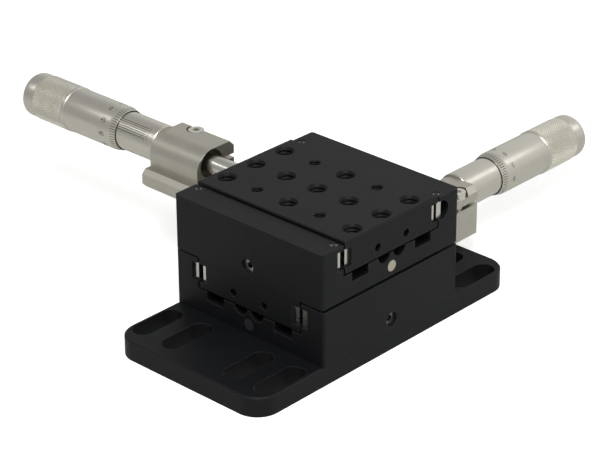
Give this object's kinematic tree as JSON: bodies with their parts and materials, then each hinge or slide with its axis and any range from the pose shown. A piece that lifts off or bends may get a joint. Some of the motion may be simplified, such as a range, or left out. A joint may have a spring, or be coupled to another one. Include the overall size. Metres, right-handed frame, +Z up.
{
  "type": "linear translation stage",
  "caption": "Two stacked linear ball-bearing stages for X and Y on a slotted base plate, each driven by a side-mounted micrometer head with a matching spindle.",
  "frame": {"origin": "centre of the base plate's bottom face, under the middle of both stages at mid travel", "axes": "+Z up out of the table face, +X away from the upper micrometer, +Y towards the lower micrometer"},
  "size_m": [0.1545, 0.1809, 0.0448],
  "materials": {
    "black_anodised": "black anodised aluminium, fine bead-blasted satin",
    "satin_nickel": "nickel-plated aluminium, satin",
    "satin_chrome": "satin chrome-plated steel, turned",
    "bearing_steel": "hardened and ground steel, bright",
    "screw_steel": "stainless steel screw",
    "bright_screw": "bright stainless steel cap screw",
    "spring_steel": "drawn spring wire",
    "cage_brass": "plain brass",
    "black_nylon": "black nylon",
    "white_nylon": "natural white nylon"
  },
  "bodies": {
    "frame": {"mounting_plate": "black_anodised", "lower_base": "black_anodised", "lower_base_races": "bearing_steel", "lower_race_screws": "screw_steel", "lower_mounting_screws": "screw_steel", "lower_lock_screws": "screw_steel", "lower_end_plug": "black_nylon", "lower_base_spring_pins": "screw_steel", "lower_springs": "spring_steel", "lower_bracket": "satin_nickel", "lower_bracket_screws": "screw_steel", "lower_clamp_screw": "bright_screw", "lower_sleeve": "satin_chrome", "lower_spindle_nut": "cage_brass"},
    "lower_table": {"lower_carriage": "black_anodised", "lower_carriage_races": "bearing_steel", "lower_carriage_spring_pins": "screw_steel", "lower_anvil": "bearing_steel", "upper_base": "black_anodised", "upper_base_races": "bearing_steel", "upper_race_screws": "screw_steel", "upper_mounting_screws": "screw_steel", "upper_lock_screws": "screw_steel", "upper_end_plug": "white_nylon", "upper_base_spring_pins": "screw_steel", "upper_springs": "spring_steel", "upper_bracket": "satin_nickel", "upper_bracket_screws": "screw_steel", "upper_clamp_screw": "bright_screw", "upper_sleeve": "satin_chrome", "upper_spindle_nut": "cage_brass"},
    "upper_table": {"upper_carriage": "black_anodised", "upper_carriage_races": "bearing_steel", "upper_carriage_spring_pins": "screw_steel", "upper_anvil": "bearing_steel"},
    "lower_ball_rows": {"lower_ball_cages": "cage_brass", "lower_balls": "bearing_steel"},
    "upper_ball_rows": {"upper_ball_cages": "cage_brass", "upper_balls": "bearing_steel"},
    "lower_screw": {"lower_spindle": "bearing_steel"},
    "upper_screw": {"upper_spindle": "bearing_steel"},
    "lower_thimble_barrel": {"lower_thimble": "satin_chrome", "lower_thimble_grip": "satin_chrome", "lower_thimble_cap": "satin_chrome"},
    "upper_thimble_barrel": {"upper_thimble": "satin_chrome", "upper_thimble_grip": "satin_chrome", "upper_thimble_cap": "satin_chrome"}
  },
  "joints": [
    {"name": "lower_thimble_turn", "type": "hinge", "parent": "lower_screw", "child": "lower_thimble_barrel", "pos_m": [0, 0.1, 0.01878], "axis": [0, -1, 0], "range_deg": [-9000, 9000]},
    {"name": "lower_screw_slide", "type": "slide", "parent": "frame", "child": "lower_screw", "axis": [0, -1, 0], "range_m": [-0.0125, 0.0125]},
    {"name": "lower_table_slide", "type": "slide", "parent": "frame", "child": "lower_table", "axis": [0, -1, 0], "range_m": [-0.0125, 0.0125], "deforming": ["lower_springs"]},
    {"name": "lower_ball_row_slide", "type": "slide", "parent": "frame", "child": "lower_ball_rows", "axis": [0, -1, 0], "range_m": [-0.00625, 0.00625]},
    {"name": "upper_thimble_turn", "type": "hinge", "parent": "upper_screw", "child": "upper_thimble_barrel", "pos_m": [-0.1, 0, 0.03728], "axis": [1, 0, 0], "range_deg": [-9000, 9000]},
    {"name": "upper_screw_slide", "type": "slide", "parent": "lower_table", "child": "upper_screw", "axis": [1, 0, 0], "range_m": [-0.0125, 0.0125]},
    {"name": "upper_table_slide", "type": "slide", "parent": "lower_table", "child": "upper_table", "axis": [1, 0, 0], "range_m": [-0.0125, 0.0125], "deforming": ["upper_springs"]},
    {"name": "upper_ball_row_slide", "type": "slide", "parent": "lower_table", "child": "upper_ball_rows", "axis": [1, 0, 0], "range_m": [-0.00625, 0.00625]}
  ],
  "couplings": [
    {"joint": "lower_thimble_turn", "follows": "lower_table_slide", "rad_per_m": 12566},
    {"joint": "lower_screw_slide", "follows": "lower_table_slide", "ratio": 1},
    {"joint": "lower_ball_row_slide", "follows": "lower_table_slide", "ratio": 0.5},
    {"joint": "upper_thimble_turn", "follows": "upper_table_slide", "rad_per_m": 12566},
    {"joint": "upper_screw_slide", "follows": "upper_table_slide", "ratio": 1},
    {"joint": "upper_ball_row_slide", "follows": "upper_table_slide", "ratio": 0.5}
  ]
}
